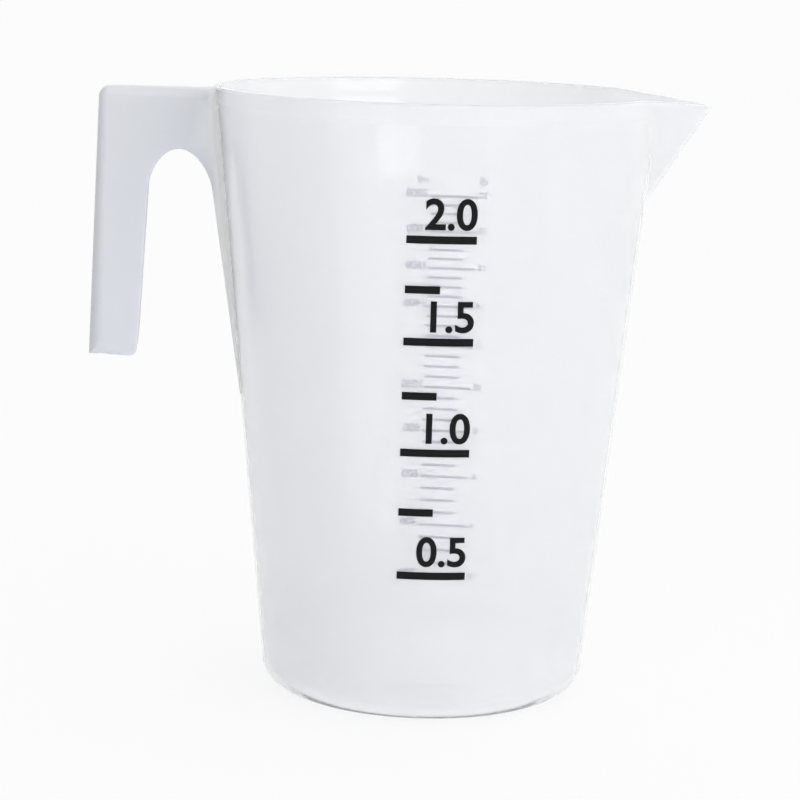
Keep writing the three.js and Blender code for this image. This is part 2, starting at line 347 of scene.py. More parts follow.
def mesh_from(name, points, faces):
    mesh = bpy.data.meshes.new(name)
    mesh.from_pydata(points, [], faces)
    mesh.validate()
    return mesh


def solid_from(name, points, faces):
    """An object from a closed mesh, with its faces turned outwards and its large faces divided."""
    mesh = mesh_from(name, points, faces)
    shape = bmesh.new()
    shape.from_mesh(mesh)
    bmesh.ops.recalc_face_normals(shape, faces=shape.faces)
    bmesh.ops.triangulate(shape, faces=[f for f in shape.faces if len(f.verts) > 4])
    shape.to_mesh(mesh)
    shape.free()
    return add_object(name, mesh)


def bake_modifiers(piece):
    """The piece's modifiers become its mesh."""
    bpy.context.view_layer.update()
    shown = piece.evaluated_get(bpy.context.evaluated_depsgraph_get())
    mesh = bpy.data.meshes.new_from_object(shown)
    piece.modifiers.clear()
    old = piece.data
    piece.data = mesh
    bpy.data.meshes.remove(old)


def combine(piece, other, operation):
    """Joins another solid to a piece, or cuts it out of it."""
    cut = piece.modifiers.new("Combine", "BOOLEAN")
    cut.object = other
    cut.operation = operation
    cut.solver = "EXACT"
    bake_modifiers(piece)
    spare = other.data
    bpy.data.objects.remove(other)
    bpy.data.meshes.remove(spare)
    if not piece.data.polygons:
        raise RuntimeError(f"{piece.name} was left empty by a {operation.lower()}")


# Body


def wall_radius(z):
    body = sizes("body")
    return body.foot_radius + (body.rim_radius - body.foot_radius) * z / body.height


def wall_tilt():
    body = sizes("body")
    return math.atan((body.rim_radius - body.foot_radius) / body.height)


def section_radius(turn, z, inset):
    """Axis to surface at a turn from the spout and a height: the cone, with the spout folded out of it."""
    spout = sizes("spout")
    body = sizes("body")
    soft_turn = math.hypot(turn, spout.keel_rounding)
    tip_height = body.height - spout.tip_drop
    keel = spout.tip_reach - math.tan(spout.keel_lean) * (tip_height - z) - inset * KEEL_THICKNESS
    side = keel * math.cos(spout.side_turn - spout.keel_rounding)
    past = min(soft_turn - spout.side_turn, math.pi / 2)
    flat = side / math.cos(past) if past < 0 else side * math.cos(past)
    away = smooth_step(*FOLD_FADE, abs(turn))
    return smooth_max(wall_radius(z) - inset, flat, mix(spout.foot_blend, spout.fold_blend, away))


def lip_height(turn):
    """Height of the rim, which falls along the sides of the spout."""
    spout = sizes("spout")
    body = sizes("body")
    out = section_radius(turn, body.height - spout.tip_drop, 0) - body.rim_radius
    reach = spout.tip_reach - body.rim_radius
    return body.height - spout.tip_drop * max(0, out / reach) ** LIP_FALL


def round_turns():
    """Turns round the body, closer together at the spout."""
    detail = sizes("detail")
    shares = [i / detail.spout_steps for i in range(1, detail.spout_steps + 1)]
    half = [SPOUT_TURN * share_of_half ** SPOUT_CROWDING for share_of_half in shares]
    steps = detail.round_steps
    rest = [mix(SPOUT_TURN, 2 * math.pi - SPOUT_TURN, i / steps) for i in range(1, steps)]
    return [0.0, *half, *rest, *(2 * math.pi - t for t in reversed(half))]


def signed_turn(turn):
    return (turn + math.pi) % (2 * math.pi) - math.pi


def rounding_centre(level, rounding, inset):
    """Middle of a rounding between a level face and the wall."""
    tilt = wall_tilt()
    touch = level + rounding * (1 - math.sin(tilt))
    return wall_radius(touch) - inset - rounding * math.cos(tilt), level + rounding


def base_rows():
    """Rows (radius, height) under the base, from the middle out and up to the wall."""
    body = sizes("body")
    steps = 2 * sizes("detail").arc_steps
    gate = body.gate_radius
    deep = body.recess_depth
    rows = [(gate * 0.5, deep * GATE_FACE), (gate * 0.9, deep * GATE_EDGE)]
    rows += [(gate, deep), (gate * 1.6, deep)]
    rows += [(mix(gate * 3, body.recess_radius, i / RECESS_STEPS), deep) for i in range(RECESS_STEPS + 1)]
    rows += [(body.recess_radius + deep * k, deep * (1 - smooth_step(0, 1, k / 3))) for k in (1, 2, 3)]
    centre = rounding_centre(0, body.foot_rounding, 0)
    return rows + arc(centre, body.foot_rounding, -math.pi / 2, -wall_tilt(), steps)


def floor_rows():
    """Rows (radius, height) inside, from the wall down to the middle of the floor."""
    body = sizes("body")
    steps = 2 * sizes("detail").arc_steps
    centre = rounding_centre(body.floor, body.inner_rounding, body.wall)
    rows = arc(centre, body.inner_rounding, -wall_tilt(), -math.pi / 2, steps)
    return rows + [(centre[0] * k, body.floor) for k in FLOOR_ROWS]


def wall_heights(low):
    """Heights of the rows of the wall, closer together at the spout and the band."""
    body = sizes("body")
    spout_foot = body.height * SPOUT_FOOT
    band_foot = body.height - body.band_height
    lower = [mix(low, spout_foot, i / LOWER_STEPS) for i in range(1, LOWER_STEPS)]
    top = band_foot - 2 * body.band_softness
    upper = [mix(spout_foot, top, i / UPPER_STEPS) for i in range(UPPER_STEPS + 1)]
    step = [band_foot + k * body.band_softness / BAND_STEPS for k in range(-BAND_STEPS, BAND_STEPS + 1)]
    under_lip = [mix(band_foot, body.height - body.lip_rounding, k) for k in UNDER_LIP_ROWS]
    return lower + upper + step + under_lip


def fitted_height(z, turn):
    """A height under the level rim, moved to lie under the lip of the spout."""
    body = sizes("body")
    low = body.height * SPOUT_LIFT_FOOT
    if z < low:
        return z
    return mix(low, lip_height(turn), (z - low) / (body.height - low))


def band_proud(z, turn):
    body = sizes("body")
    foot = body.height - body.band_height
    fade = smooth_step(*BAND_FADE, abs(turn))
    return body.band_proud * fade * smooth_step(foot - body.band_softness, foot + body.band_softness, z)


def outer_row(z, turns):
    row = []
    for turn in turns:
        height = fitted_height(z, turn)
        row.append((section_radius(turn, height, 0) + band_proud(z, turn), height))
    return row


def inner_row(z, turns):
    wall = sizes("body").wall
    return [(section_radius(t, fitted_height(z, t), wall), fitted_height(z, t)) for t in turns]


def lip_rows(turns):
    """Rows over the rounded rim, from outside to inside."""
    body = sizes("body")
    steps = sizes("detail").arc_steps
    rows = [[] for _ in range(2 * steps + 2)]
    for turn in turns:
        at_wall = smooth_step(*TIP_FADE, abs(turn))
        rounding = mix(sizes("spout").tip_rounding, body.lip_rounding, at_wall)
        top = lip_height(turn)
        foot = top - rounding
        outer = section_radius(turn, foot, 0) + band_proud(body.height, turn)
        inner = section_radius(turn, foot, body.wall)
        bend = min(rounding, LIP_BEND * (outer - inner))
        over = arc((outer - bend, top - bend), bend, 0, math.pi / 2, steps)
        over += arc((inner + bend, top - bend), bend, math.pi / 2, math.pi, steps)
        for row, point in zip(rows, over):
            row.append(point)
    return rows


def vessel_mesh():
    """Body, base, rim and spout as one closed wall."""
    turns = [signed_turn(t) for t in round_turns()]
    count = len(turns)
    base = base_rows()
    inside = floor_rows()
    rows = [[point] * count for point in base]
    rows += [outer_row(z, turns) for z in wall_heights(base[-1][1])]
    rows += lip_rows(turns)
    rows += [inner_row(z, turns) for z in reversed(wall_heights(inside[0][1]))]
    rows += [[point] * count for point in inside]
    points = [(0, 0, sizes("body").recess_depth * GATE_FACE)]
    for row in rows:
        points += [(r * math.cos(t), r * math.sin(t), z) for (r, z), t in zip(row, turns)]
    points.append((0, 0, sizes("body").floor))
    faces = [(0, 1 + (i + 1) % count, 1 + i) for i in range(count)]
    for k in range(len(rows) - 1):
        low = 1 + k * count
        for i in range(count):
            j = (i + 1) % count
            faces.append((low + i, low + j, low + count + j, low + count + i))
    last = len(points) - 1
    top = last - count
    faces += [(top + i, top + (i + 1) % count, last) for i in range(count)]
    return mesh_from("moulding", points, faces)


# Handle, drawn in X and Z


def back_x(z):
    handle = sizes("handle")
    foot = handle.top - handle.corner
    lean = (handle.end_back - handle.back) / (foot - handle.leg_end)
    return -handle.back - lean * max(0, foot - z)


def arch_spring():
    """Height at which the arch between leg and body begins."""
    handle = sizes("handle")
    return handle.top - handle.arm_depth - handle.arch_rise


def leg_inner_x(z):
    handle = sizes("handle")
    spring = arch_spring()
    depth = mix(handle.leg_depth, handle.spring_depth, (z - handle.leg_end) / (spring - handle.leg_end))
    return back_x(z) + depth


def rib_edge_x(z):
    """Free edge of the ribs, from their foot on the wall up through the springing of the arch."""
    handle = sizes("handle")
    spring = arch_spring()
    foot = spring - handle.rib_length
    return mix(-wall_radius(foot), -wall_radius(spring) - handle.rib_proud, (z - foot) / handle.rib_length)


def half_width(z):
    handle = sizes("handle")
    return mix(handle.half_width, handle.end_half_width, (handle.top - z) / (handle.top - handle.leg_end))


def root_x(z):
    """Inside the wall, where the handle starts."""
    return -(wall_radius(z) - ROOT_SINK * sizes("body").wall)


def back_rounding(z):
    handle = sizes("handle")
    fall = (handle.top - handle.corner - z) / (handle.top - handle.corner - handle.leg_end)
    return mix(handle.arm_rounding, handle.leg_rounding, min(1, max(0, fall)))


def spine(inset):
    """Points of the top and the back, moved in by an inset, from the body to the end of the leg."""
    handle = sizes("handle")
    steps = sizes("detail").arc_steps
    foot = handle.top - handle.corner
    corner_x = -handle.back + handle.corner
    arm = [(mix(root_x(handle.top), corner_x, i / ARM_STEPS), handle.top - inset) for i in range(ARM_STEPS)]
    bend = arc((corner_x, foot), handle.corner - inset, math.pi / 2, math.pi, steps)
    heights = [mix(foot, handle.leg_end, i / LEG_STEPS) for i in range(1, LEG_STEPS + 1)]
    return arm + bend + [(back_x(z) + inset, z) for z in heights]


def free_edge():
    """Points of the free edges, from the end of the leg over the arch to the foot of the ribs."""
    handle = sizes("handle")
    detail = sizes("detail")
    spring = arch_spring()
    end = handle.leg_end
    corner = handle.leg_corner
    points = arc((leg_inner_x(end) - corner, end + corner), corner, -math.pi / 2, 0, detail.arc_steps)
    rise = [mix(end + corner, spring, i / INNER_LEG_STEPS) for i in range(1, INNER_LEG_STEPS)]
    points += [(leg_inner_x(z), z) for z in rise]
    for i in range(detail.arch_steps + 1):
        turn = math.pi * (1 - i / detail.arch_steps)
        z = spring + handle.arch_rise * math.sin(turn)
        points.append((mix(leg_inner_x(z), rib_edge_x(z), (1 + math.cos(turn)) / 2), z))
    foot = spring - handle.rib_length
    fall = [mix(spring, foot, i / RIB_STEPS) for i in range(1, RIB_STEPS + 1)]
    points += [(rib_edge_x(z), z) for z in fall]
    return points + [(root_x(foot), foot)]


def root_line(foot):
    """Points inside the wall from the foot of the ribs up to the top of the arm."""
    top = sizes("handle").top
    return [(root_x(z), z) for z in (mix(foot, top, i / ROOT_STEPS) for i in range(1, ROOT_STEPS))]


def edge_normals(outline):
    """Direction into the outline at each of its points, lengthened so that both edges move in equally."""
    count = len(outline)
    found = []
    for i, point in enumerate(outline):
        before = Vector(point) - Vector(outline[i - 1])
        after = Vector(outline[(i + 1) % count]) - Vector(point)
        a = Vector((-before.y, before.x)).normalized()
        b = Vector((-after.y, after.x)).normalized()
        middle = (a + b).normalized()
        found.append(middle / max(MITRE_LIMIT, middle.dot(a)))
    return found


def tube_faces(rings, count):
    """Faces between rings of points that lie one behind the other, and at both ends."""
    faces = [tuple(range(count)), tuple(rings * count - 1 - i for i in range(count))]
    for k in range(rings - 1):
        for i in range(count):
            j = (i + 1) % count
            faces.append((k * count + j, k * count + i, (k + 1) * count + i, (k + 1) * count + j))
    return faces


def rounded_plate(name, outline, roundings, width_inset):
    """A plate across the handle from an anticlockwise outline, with its own rounding at each point."""
    steps = sizes("detail").arc_steps
    inwards = edge_normals(outline)
    bends = [math.pi / 2 * (1 - i / steps) for i in range(steps + 1)]
    levels = [(-1, bend) for bend in bends] + [(1, bend) for bend in reversed(bends)]
    points = []
    for side, bend in levels:
        for (x, z), inward, rounding in zip(outline, inwards, roundings):
            moved = Vector((x, z)) + inward * rounding * (1 - math.cos(bend))
            out = half_width(moved.y) - width_inset - rounding * (1 - math.sin(bend))
            points.append((moved.x, side * out, moved.y))
    return solid_from(name, points, tube_faces(len(levels), len(outline)))


def handle_solid():
    """The hook with its ribs: a rounded plate with a channel cut into it."""
    handle = sizes("handle")
    outer = spine(0)
    free = free_edge()
    root = root_line(free[-1][1])
    roundings = [back_rounding(z) for _, z in outer]
    roundings += [handle.edge_rounding] * len(free) + [0.0] * len(root)
    roundings[-len(root) - 1] = 0.0
    roundings[0] = 0.0
    hook = rounded_plate("hook", outer + free + root, roundings, 0)
    inner = spine(handle.wall)
    room = handle.rib_length
    far = (inner[-1][0], inner[-1][1] - room / 4)
    open_end = [far, (0, far[1]), (0, inner[0][1])]
    bends = [max(CHANNEL_ROUNDING, back_rounding(z) - CHANNEL_FOLLOW * handle.wall) for _, z in inner]
    bends += [0.0] * len(open_end)
    channel = rounded_plate("channel", inner + open_end, bends, handle.wall)
    combine(hook, channel, "DIFFERENCE")
    return hook


def cheek_width(z):
    """Middle of the handle to the outside of a cheek, which turns in under the top of the arm."""
    handle = sizes("handle")
    rise = 1 - min(1, (handle.top - z) / handle.arm_rounding)
    return half_width(z) - handle.arm_rounding * (1 - math.sqrt(1 - rise * rise))


def fillet_size(z):
    """Radius of the fillet between a cheek and the wall, which shrinks along the rib."""
    proud = -wall_radius(z) - rib_edge_x(z)
    return min(sizes("handle").root_fillet, FILLET_SHARE * proud)


def fillet_section(z):
    """Section (x, y) of the fillet between a cheek and the wall, sunk a little into both."""
    fillet = fillet_size(z)
    width = cheek_width(z) - FILLET_SUNK
    radius = wall_radius(z) - FILLET_SUNK_IN_WALL
    centre = (-math.sqrt((radius + fillet) ** 2 - (width + fillet) ** 2), width + fillet)
    inwards = math.atan2(-centre[1], -centre[0])
    points = arc(centre, fillet, -math.pi / 2, inwards, 2 * sizes("detail").arc_steps)
    last = Vector(points[-1])
    points.append(tuple(last * (1 - FILLET_DEEP / last.length)))
    return points + [(points[-1][0], width - FILLET_DEEP), (centre[0], width - FILLET_DEEP)]


def root_fillet(side):
    """The fillet on the near (-1) or the far (1) side, from the foot of its rib to the top of the arm."""
    handle = sizes("handle")
    low = arch_spring() - FILLET_RUN * handle.rib_length
    bend = handle.arm_rounding
    heights = [mix(low, handle.top - bend, i / FILLET_STEPS) for i in range(FILLET_STEPS)]
    over = arc((0, handle.top - bend), bend - FILLET_SUNK, 0, math.pi / 2, FILLET_TOP_STEPS)
    heights += [z for _, z in over]
    sections = [fillet_section(z) for z in heights]
    points = [(x, side * y, z) for section, z in zip(sections, heights) for x, y in section]
    return solid_from("root_fillet", points, tube_faces(len(heights), len(sections[0])))


def proud_of_wall(point):
    return math.hypot(point.x, point.y) - wall_radius(point.z)


def thickness_marks(point):
    """Shares of dense plastic with painted shade, and of hazy plastic, at a point."""
    handle = sizes("handle")
    out = proud_of_wall(point)
    turn = abs(math.atan2(point.y, point.x))
    in_arm = smooth_step(*(arch_spring() + rise for rise in ARM_HEIGHT), point.z)
    past_fillet = smooth_step(*(part * handle.root_fillet for part in GRIP_PROUD_IN_FILLETS), out)
    grip = mix(smooth_step(*GRIP_PROUD, out), past_fillet, in_arm) * smooth_step(*GRIP_BACK, -point.x)
    high = smooth_step(*UPPER_BODY, point.z)
    root = ROOT_HAZE * (smooth_step(*ROOT_TURN, turn) * high)
    # Painted shade: the upper wall takes on some of the dense colour towards the handle side
    shade = PAINTED_SHADE_SHARE * (smooth_step(*PAINTED_SHADE_TURN, turn) * high)
    lip = LIP_HAZE * smooth_step(*LIP_DEPTH, lip_height(turn) - point.z)
    keel = smooth_step(*KEEL_TURN, turn) * smooth_step(*KEEL_PROUD, out)
    return max(grip, shade), max(grip, lip, keel, root)


def vessel_plastic(face):
    """The base is clear and the wall is thin."""
    level = abs(face.normal.z) > LEVEL_FACE
    inside = face.normal.xy.dot(face.center.xy) < 0
    at_base = face.center.z < base_rows()[-1][1] and (level or inside)
    return FLOOR_PLASTIC if at_base else THIN_PLASTIC


def handle_plastic(face):
    """The handle is thick all over, and so are its fillets."""
    return THICK_PLASTIC


def lay_plastic(piece, plastics, kind):
    """Gives a solid the three plastics and each of its faces the one that it is made of."""
    for plastic in plastics:
        piece.data.materials.append(plastic)
    for face in piece.data.polygons:
        face.material_index = kind(face)


def mark_thickness(piece):
    """Marks where the plastic is dense at the handle, where painted shade darkens the upper wall towards
    the handle, and where the plastic is hazy, also at the lip and the keel.
    """
    marks = [thickness_marks(point.co) for point in piece.data.vertices]
    for name, values in zip(("dense_plastic", "hazy_plastic"), zip(*marks)):
        piece.data.attributes.new(name, "FLOAT", "POINT").data.foreach_set("value", values)


def smooth_shade(piece, degrees):
    piece.data.shade_smooth()
    piece.data.set_sharp_from_angle(angle=math.radians(degrees))
    weigh = piece.modifiers.new("Weighted normals", "WEIGHTED_NORMAL")
    weigh.keep_sharp = True
    weigh.weight = 80


# Print on the wall


def wrapped(u, v, turn, z, lift):
    """A point of a flat print, laid on the wall: u runs to the reader's right and v up the wall."""
    height = z + v * math.cos(wall_tilt())
    radius = wall_radius(height)
    place = turn + u / radius
    return Vector(((radius + lift) * math.cos(place), (radius + lift) * math.sin(place), height))


def number_shape(text, height, boldness):
    """A flat number of a height, with its lower left corner at the origin."""
    curve = bpy.data.curves.new("number", "FONT")
    curve.body = text
    curve.offset = boldness
    curve.resolution_u = 6
    spare = add_object("number", curve)
    bpy.context.view_layer.update()
    mesh = bpy.data.meshes.new_from_object(spare.evaluated_get(bpy.context.evaluated_depsgraph_get()))
    bpy.data.objects.remove(spare)
    bpy.data.curves.remove(curve)
    shape = bmesh.new()
    shape.from_mesh(mesh)
    bpy.data.meshes.remove(mesh)
    low = Vector((min(p.co.x for p in shape.verts), min(p.co.y for p in shape.verts), 0))
    tall = max(p.co.y for p in shape.verts) - low.y
    bmesh.ops.translate(shape, verts=shape.verts, vec=-low)
    bmesh.ops.scale(shape, verts=shape.verts, vec=Vector((height / tall,) * 3))
    return shape


def bar_shape(across, height):
    """A flat bar with its lower left corner at the origin."""
    shape = bmesh.new()
    corners = [shape.verts.new(p) for p in ((0, 0, 0), (across, 0, 0), (across, height, 0), (0, height, 0))]
    shape.faces.new(corners)
    return shape


def shape_width(shape):
    return max(p.co.x for p in shape.verts)


def strips(shape):
    """Cuts a flat shape into narrow upright strips, so that it can follow the round wall."""
    for i in range(1, math.ceil(shape_width(shape) / STRIP_PITCH)):
        parts = [*shape.verts, *shape.edges, *shape.faces]
        bmesh.ops.bisect_plane(shape, geom=parts, plane_co=(i * STRIP_PITCH, 0, 0), plane_no=(1, 0, 0))
    bmesh.ops.remove_doubles(shape, verts=shape.verts, dist=WELD)


def print_piece(name, prints, turn):
    """One ink piece from flat shapes, each with its place across and its height on the wall."""
    ink = sizes("print")
    joined = bmesh.new()
    for shape, across, z in prints:
        strips(shape)
        for point in shape.verts:
            point.co = wrapped(point.co.x + across, point.co.y, turn, z, ink.lift)
        part = bpy.data.meshes.new("part")
        shape.to_mesh(part)
        shape.free()
        joined.from_mesh(part)
        bpy.data.meshes.remove(part)
    for face in joined.faces:
        middle = face.calc_center_median()
        if face.normal.dot(Vector((middle.x, middle.y, 0))) < 0:
            face.normal_flip()
    mesh = bpy.data.meshes.new(name)
    joined.to_mesh(mesh)
    joined.free()
    piece = add_object(name, mesh)
    film = piece.modifiers.new("Film", "SOLIDIFY")
    film.thickness = ink.ink
    film.offset = 1
    bake_modifiers(piece)
    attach(piece, BODY)
    return piece


def line_height(volume):
    low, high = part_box(f"scale_line_{volume:04d}")
    return (low.z + high.z) / 2


# Materials


def link(tree, source, output, target, socket):
    tree.links.new(source.outputs[output], target.inputs[socket])


def calculate(tree, operation, *values):
    """Result of a math node. Each value is a number or the socket that gives it."""
    node = tree.nodes.new("ShaderNodeMath")
    node.operation = operation
    for socket, value in zip(node.inputs, values):
        if isinstance(value, bpy.types.NodeSocket):
            tree.links.new(value, socket)
        else:
            socket.default_value = value
    return node.outputs[0]


def surface_group():
    """Cloudy colour, uneven gloss and fine waves, as on a moulded or printed surface."""
    name = "Moulded surface"
    if name in bpy.data.node_groups:
        return bpy.data.node_groups[name]
    group = bpy.data.node_groups.new(name, "ShaderNodeTree")
    for label, kind, default in (
        ("Thin Colour", "NodeSocketColor", (1, 1, 1, 1)),
        ("Dense Colour", "NodeSocketColor", (1, 1, 1, 1)),
        # On the plastics, Density also carries the painted shade on the upper wall towards the handle
        ("Density", "NodeSocketFloat", 0),
        ("Clouds", "NodeSocketFloat", 0.1),
        ("Cloud Scale", "NodeSocketFloat", 40),
        ("Roughness", "NodeSocketFloat", 0.2),
        ("Haze", "NodeSocketFloat", 0),
        ("Haze Roughness", "NodeSocketFloat", 0.4),
        ("Roughness Spread", "NodeSocketFloat", 0.05),
        ("Grain Scale", "NodeSocketFloat", 900),
    ):
        group.interface.new_socket(name=label, in_out="INPUT", socket_type=kind).default_value = default
    for label, kind in (
        ("Colour", "NodeSocketColor"),
        ("Roughness", "NodeSocketFloat"),
        ("Height", "NodeSocketFloat"),
    ):
        group.interface.new_socket(name=label, in_out="OUTPUT", socket_type=kind)
    make = group.nodes.new
    given = make("NodeGroupInput")
    result = make("NodeGroupOutput")
    place = make("ShaderNodeTexCoord")
    clouds = make("ShaderNodeTexNoise")
    clouds.inputs["Detail"].default_value = 4
    grain = make("ShaderNodeTexNoise")
    grain.inputs["Detail"].default_value = 2
    for noise, scale in ((clouds, "Cloud Scale"), (grain, "Grain Scale")):
        link(group, place, "Object", noise, "Vector")
        link(group, given, scale, noise, "Scale")
    centred = calculate(group, "SUBTRACT", clouds.outputs["Fac"], 0.5)
    cloudy = calculate(group, "MULTIPLY_ADD", centred, given.outputs["Clouds"], given.outputs["Density"])
    blend = make("ShaderNodeMix")
    blend.data_type = "RGBA"
    blend.clamp_factor = True
    group.links.new(cloudy, blend.inputs[0])
    link(group, given, "Thin Colour", blend, COLOUR_A)
    link(group, given, "Dense Colour", blend, COLOUR_B)
    link(group, blend, COLOUR_RESULT, result, "Colour")
    hazy = make("ShaderNodeMix")
    link(group, given, "Haze", hazy, 0)
    link(group, given, "Roughness", hazy, VALUE_A)
    link(group, given, "Haze Roughness", hazy, VALUE_B)
    spread = given.outputs["Roughness Spread"]
    rough = calculate(group, "MULTIPLY_ADD", centred, spread, hazy.outputs["Result"])
    group.links.new(rough, result.inputs["Roughness"])
    link(group, grain, "Fac", result, "Height")
    return group


def new_material(name):
    material = bpy.data.materials.new(name)
    material.use_nodes = True
    tree = material.node_tree
    shader = next(n for n in tree.nodes if n.type == "BSDF_PRINCIPLED")
    surface = tree.nodes.new("ShaderNodeGroup")
    surface.node_tree = surface_group()
    bump = tree.nodes.new("ShaderNodeBump")
    link(tree, surface, "Colour", shader, "Base Color")
    link(tree, surface, "Roughness", shader, "Roughness")
    link(tree, surface, "Height", bump, "Height")
    link(tree, bump, "Normal", shader, "Normal")
    return material, tree, shader, surface, bump


def polypropylene(name, clearness, milkiness, coat_roughness):
    if name in bpy.data.materials:
        return bpy.data.materials[name]
    finish = sizes("finish")
    material, tree, shader, surface, bump = new_material(name)
    # The dense mark holds both the thick handle and the painted shade on the upper wall
    for name_on_mesh, label in (("dense_plastic", "Density"), ("hazy_plastic", "Haze")):
        marked = tree.nodes.new("ShaderNodeAttribute")
        marked.attribute_name = name_on_mesh
        link(tree, marked, "Fac", surface, label)
    surface.inputs["Thin Colour"].default_value = finish.plastic
    surface.inputs["Dense Colour"].default_value = finish.dense_plastic
    surface.inputs["Clouds"].default_value = 0.12
    surface.inputs["Cloud Scale"].default_value = 22
    surface.inputs["Roughness"].default_value = finish.plastic_roughness
    surface.inputs["Haze Roughness"].default_value = finish.haze_roughness
    surface.inputs["Roughness Spread"].default_value = 0.03
    surface.inputs["Grain Scale"].default_value = 320
    bump.inputs["Strength"].default_value = 0.005
    bump.inputs["Distance"].default_value = 0.0002
    shader.inputs["Transmission Weight"].default_value = clearness
    shader.inputs["IOR"].default_value = finish.bending
    shader.inputs["Coat Weight"].default_value = 1
    shader.inputs["Coat Roughness"].default_value = coat_roughness
    shader.inputs["Coat IOR"].default_value = 1.49
    shader.inputs["Subsurface Weight"].default_value = 1
    shader.inputs["Subsurface Radius"].default_value = (1, 1, 1)
    shader.inputs["Subsurface Scale"].default_value = milkiness
    return material


def ink_material(name, tone):
    if name in bpy.data.materials:
        return bpy.data.materials[name]
    material, _, shader, surface, bump = new_material(name)
    worn = [min(1, WORN_GAIN * value + WORN_LIFT) for value in tone[:3]] + [1]
    surface.inputs["Thin Colour"].default_value = tone
    surface.inputs["Dense Colour"].default_value = worn
    surface.inputs["Density"].default_value = 0.2
    surface.inputs["Clouds"].default_value = 0.8
    surface.inputs["Cloud Scale"].default_value = 420
    surface.inputs["Roughness"].default_value = 0.42
    surface.inputs["Roughness Spread"].default_value = 0.2
    surface.inputs["Grain Scale"].default_value = 2600
    bump.inputs["Strength"].default_value = 0.12
    bump.inputs["Distance"].default_value = 0.00005
    shader.inputs["Specular IOR Level"].default_value = 0.15
    return material


# Stage


def add_floor():
    finish = sizes("finish")
    points = [(x * FLOOR_REACH, y * FLOOR_REACH, 0) for x, y in ((-1, -1), (1, -1), (1, 1), (-1, 1))]
    floor = add_object("floor", mesh_from("floor", points, [(0, 1, 2, 3)]))
    floor.location.z = -FLOOR_GAP
    material = bpy.data.materials.new("white_floor")
    material.use_nodes = True
    tree = material.node_tree
    shader = next(n for n in tree.nodes if n.type == "BSDF_PRINCIPLED")
    shader.inputs["Base Color"].default_value = finish.floor
    shader.inputs["Roughness"].default_value = 0.9
    shader.inputs["Specular IOR Level"].default_value = 0.1
    white = tree.nodes.new("ShaderNodeEmission")
    blend = tree.nodes.new("ShaderNodeMixShader")
    part = calculate(tree, "MULTIPLY", seen_directly(tree), finish.floor_white)
    tree.links.new(part, blend.inputs[0])
    tree.links.new(shader.outputs[0], blend.inputs[1])
    tree.links.new(white.outputs[0], blend.inputs[2])
    output = next(n for n in tree.nodes if n.type == "OUTPUT_MATERIAL")
    link(tree, blend, "Shader", output, "Surface")
    floor.data.materials.append(material)


def seen_directly(tree):
    """1 where the camera sees a thing, also mirrored or through glass, and 0 where it only gives light."""
    path = tree.nodes.new("ShaderNodeLightPath").outputs
    seen = path["Is Camera Ray"]
    for kind in ("Is Glossy Ray", "Is Transmission Ray"):
        seen = calculate(tree, "MAXIMUM", seen, path[kind])
    direct = calculate(tree, "LESS_THAN", path["Diffuse Depth"], 0.5)
    return calculate(tree, "MULTIPLY", seen, direct)


def add_world():
    world = bpy.data.worlds.new("white_room")
    bpy.context.scene.world = world
    world.use_nodes = True
    tree = world.node_tree
    tree.nodes.clear()
    make = tree.nodes.new
    stage = sizes("stage")
    direction = make("ShaderNodeTexCoord")
    parts = make("ShaderNodeSeparateXYZ")
    link(tree, direction, "Generated", parts, 0)
    handle_side = calculate(tree, "MINIMUM", parts.outputs["X"], 0)
    fall = stage.world_light * stage.dark_side
    level = calculate(tree, "MULTIPLY_ADD", handle_side, fall, stage.world_light)
    light = make("ShaderNodeBackground")
    light.inputs["Color"].default_value = (1, 1, 1, 1)
    tree.links.new(level, light.inputs["Strength"])
    white = make("ShaderNodeBackground")
    white.inputs["Color"].default_value = (1, 1, 1, 1)
    white.inputs["Strength"].default_value = 1
    blend = make("ShaderNodeMixShader")
    tree.links.new(seen_directly(tree), blend.inputs[0])
    tree.links.new(light.outputs[0], blend.inputs[1])
    tree.links.new(white.outputs[0], blend.inputs[2])
    output = make("ShaderNodeOutputWorld")
    tree.links.new(blend.outputs[0], output.inputs["Surface"])


def add_lamp(name, place, aim, size, power):
    lamp = bpy.data.lights.new(name, "AREA")
    lamp.shape = "RECTANGLE"
    lamp.size, lamp.size_y = size
    lamp.energy = power
    holder = add_object(name, lamp)
    holder.location = place
    holder.rotation_mode = "QUATERNION"
    holder.rotation_quaternion = (Vector(aim) - Vector(place)).to_track_quat("-Z", "Y")
    holder.visible_camera = False
    return holder


def add_lamps():
    stage = sizes("stage")
    key = add_lamp("key_lamp", KEY_PLACE, KEY_AIM, KEY_SIZE, stage.key_power)
    key.visible_glossy = False
    add_lamp("window_lamp", WINDOW_PLACE, WINDOW_AIM, WINDOW_SIZE, stage.window_power)


def add_camera():
    stage = sizes("stage")
    lens = bpy.data.cameras.new("camera")
    lens.sensor_width = 36
    lens.lens = stage.lens
    lens.clip_start = 0.01
    lens.clip_end = 100
    camera = add_object("camera", lens)
    turn = Matrix.Rotation(stage.camera_turn, 4, "Z")
    tilt = Matrix.Rotation(math.pi / 2 - stage.camera_tilt, 4, "X")
    roll = Matrix.Rotation(stage.camera_roll, 4, "Z")
    camera.matrix_world = Matrix.Translation(stage.camera_place) @ turn @ tilt @ roll
    bpy.context.scene.camera = camera


# Operators


